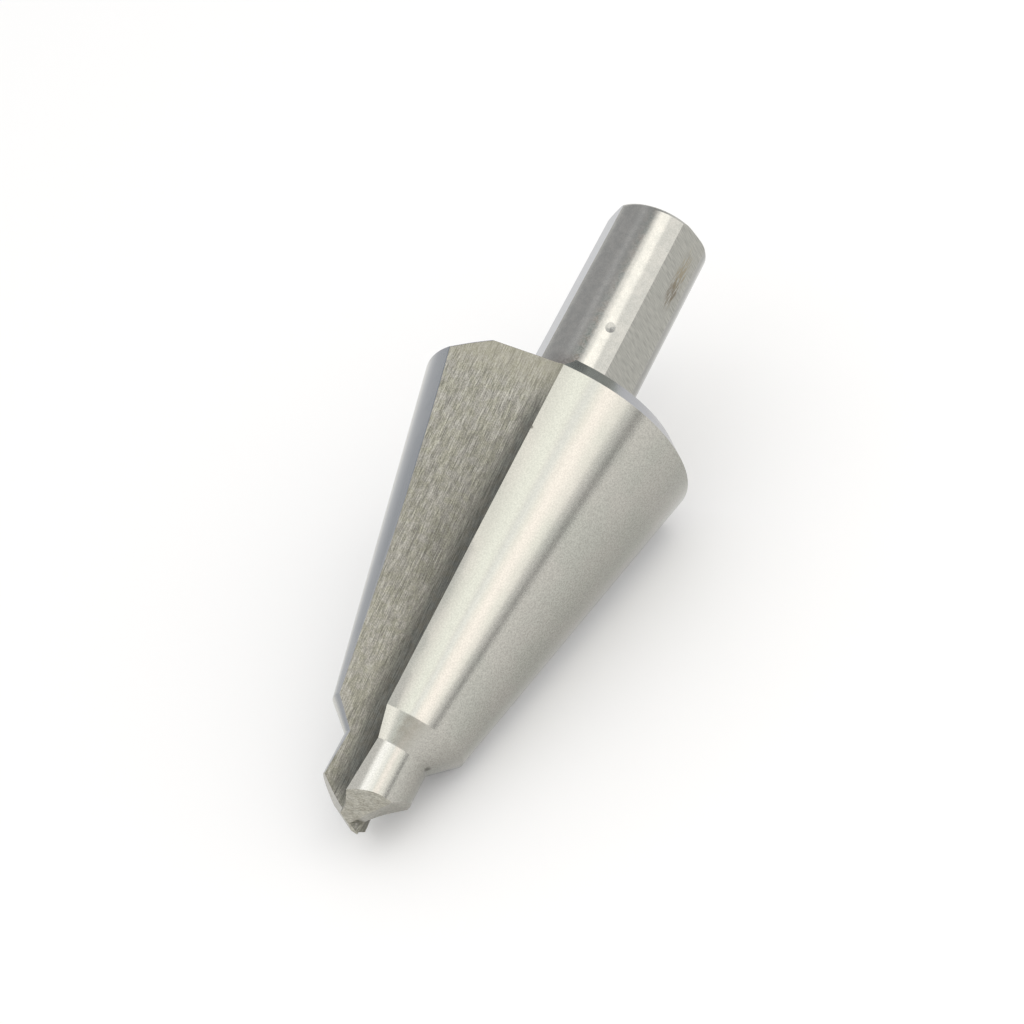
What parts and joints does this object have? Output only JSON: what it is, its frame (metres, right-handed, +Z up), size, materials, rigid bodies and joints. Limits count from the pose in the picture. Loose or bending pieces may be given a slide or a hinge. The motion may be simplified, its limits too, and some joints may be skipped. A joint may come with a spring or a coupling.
{
  "type": "taper reamer",
  "caption": "One-piece steel taper reamer: split point, short pilot, long cone with straight hooked flutes, bevelled back and a round shank with chuck flats.",
  "frame": {"origin": "centre of the underside of the part's box, on the floor", "axes": "+Z up; the tool lies on the edges of one flute with its point toward -Y and its shank toward +Y, raised by the cone, and its other flute opens upward"},
  "size_m": [0.0304, 0.074, 0.0267],
  "materials": {
    "ground_steel": "satin ground"
  },
  "bodies": {
    "root": {"taper_reamer": "ground_steel"}
  },
  "joints": []
}
